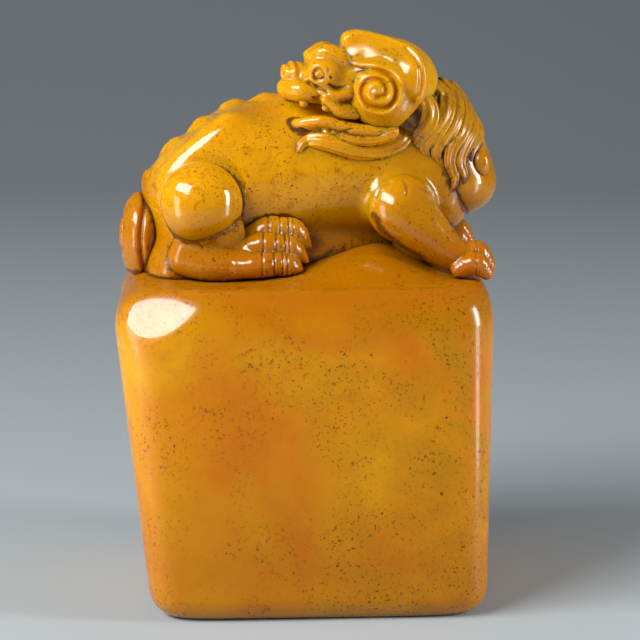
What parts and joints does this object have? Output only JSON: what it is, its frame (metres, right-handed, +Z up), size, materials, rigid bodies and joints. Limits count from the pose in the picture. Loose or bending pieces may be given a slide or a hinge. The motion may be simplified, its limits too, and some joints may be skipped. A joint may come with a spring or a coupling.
{
  "type": "seal stamp",
  "caption": "Stone seal stamp: a squared block with a flat printing face, topped by a crouching guardian beast that serves as its grip.",
  "frame": {"origin": "centre of the flat printing face on the underside of the block", "axes": "+Z up from the printing face to the carving, +X the way the beast's chest points, -Y the side that its right flank faces"},
  "size_m": [0.0574, 0.0486, 0.0852],
  "materials": {
    "block_stone": "satin polish, fine pits, honey to amber with cloudy veins",
    "carved_stone": "high polish over smooth carved forms",
    "carved_detail_stone": "high polish with brown staining in the cuts"
  },
  "bodies": {
    "root": {"seal_block": "block_stone", "skull": "carved_stone", "upper_jaw": "carved_stone", "lower_jaw": "carved_stone", "nose": "carved_detail_stone", "left_ear": "carved_stone", "left_ear_roll": "carved_stone", "left_eye": "carved_detail_stone", "left_brow": "carved_detail_stone", "left_upper_lip": "carved_detail_stone", "left_teeth": "carved_detail_stone", "right_ear": "carved_stone", "right_ear_roll": "carved_stone", "right_eye": "carved_detail_stone", "right_brow": "carved_detail_stone", "right_upper_lip": "carved_detail_stone", "right_teeth": "carved_detail_stone", "neck_and_chest": "carved_stone", "trunk": "carved_stone", "right_haunch": "carved_stone", "right_shoulder": "carved_stone", "right_hind_shank": "carved_stone", "right_hind_toe_1": "carved_stone", "right_hind_toe_2": "carved_stone", "right_hind_toe_3": "carved_stone", "right_foreleg": "carved_stone", "right_fore_toe_1": "carved_stone", "right_fore_toe_2": "carved_stone", "right_fore_toe_3": "carved_stone", "left_haunch": "carved_stone", "left_shoulder": "carved_stone", "left_hind_shank": "carved_stone", "left_hind_toe_1": "carved_stone", "left_hind_toe_2": "carved_stone", "left_hind_toe_3": "carved_stone", "left_foreleg": "carved_stone", "left_fore_toe_1": "carved_stone", "left_fore_toe_2": "carved_stone", "left_fore_toe_3": "carved_stone", "tail_scroll": "carved_stone", "tail_root": "carved_stone", "spine_knob_1": "carved_detail_stone", "spine_knob_2": "carved_detail_stone", "spine_knob_3": "carved_detail_stone", "spine_knob_4": "carved_detail_stone", "spine_knob_5": "carved_detail_stone", "spine_knob_6": "carved_detail_stone", "spine_knob_7": "carved_detail_stone", "right_mane_lock_1": "carved_detail_stone", "right_mane_lock_2": "carved_detail_stone", "right_mane_lock_3": "carved_detail_stone", "right_mane_lock_4": "carved_detail_stone", "left_mane_lock_1": "carved_detail_stone", "left_mane_lock_2": "carved_detail_stone", "left_mane_lock_3": "carved_detail_stone", "left_mane_lock_4": "carved_detail_stone", "beard_lock_1": "carved_detail_stone", "beard_lock_2": "carved_detail_stone", "chest_bead": "carved_detail_stone"}
  },
  "joints": []
}
